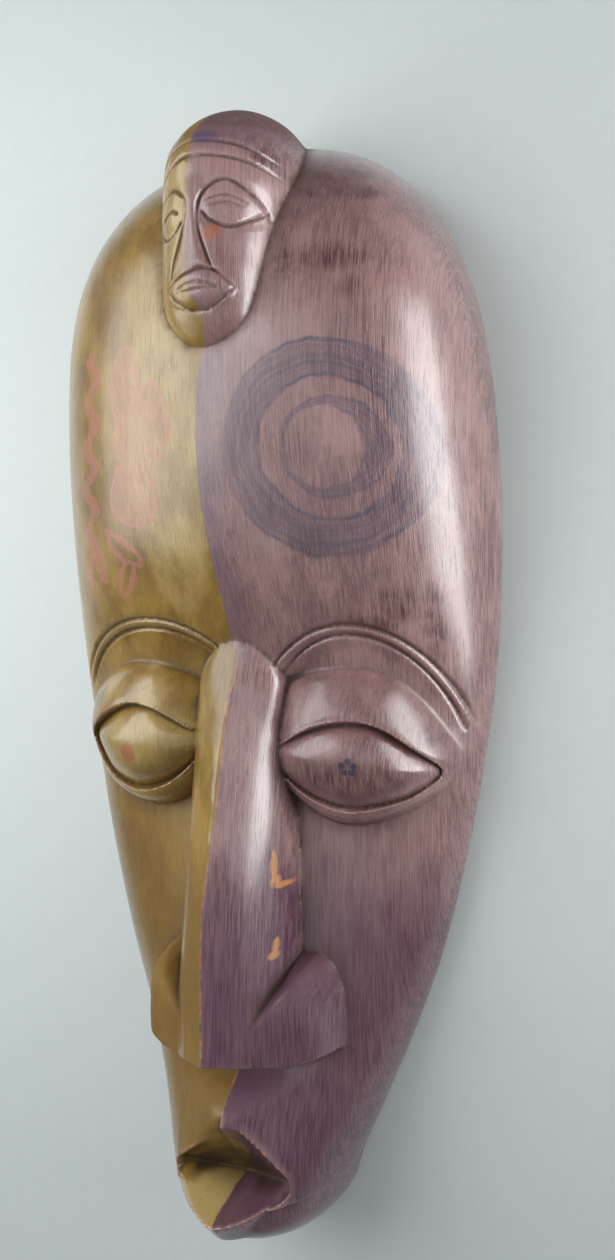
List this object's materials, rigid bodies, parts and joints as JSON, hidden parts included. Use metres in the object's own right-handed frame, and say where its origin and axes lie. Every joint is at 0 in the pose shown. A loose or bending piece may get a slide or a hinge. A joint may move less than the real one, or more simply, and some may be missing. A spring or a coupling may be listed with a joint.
{
  "type": "carved mask",
  "caption": "Long carved wooden face mask for a wall, with brow lines, lidded eyes, a tongue-shaped nose, an open mouth and a small second face carved on the crown; hollow at the back",
  "frame": {"origin": "centre of the bounding box's lowest face: on the plane of the flat back rim, under the middle of the mask", "axes": "the mask lies on its back; +Y runs from the chin to the crown, +Z comes out of the face, +X runs to the right as seen from the front"},
  "size_m": [0.4354, 1.0237, 0.1978],
  "materials": {
    "stained_wood": "stained mauve on the right half and ochre on the left half, brush-painted with rings and loops, under a semi-gloss varnish"
  },
  "bodies": {
    "root": {"carved_mask": "stained_wood"}
  },
  "joints": []
}
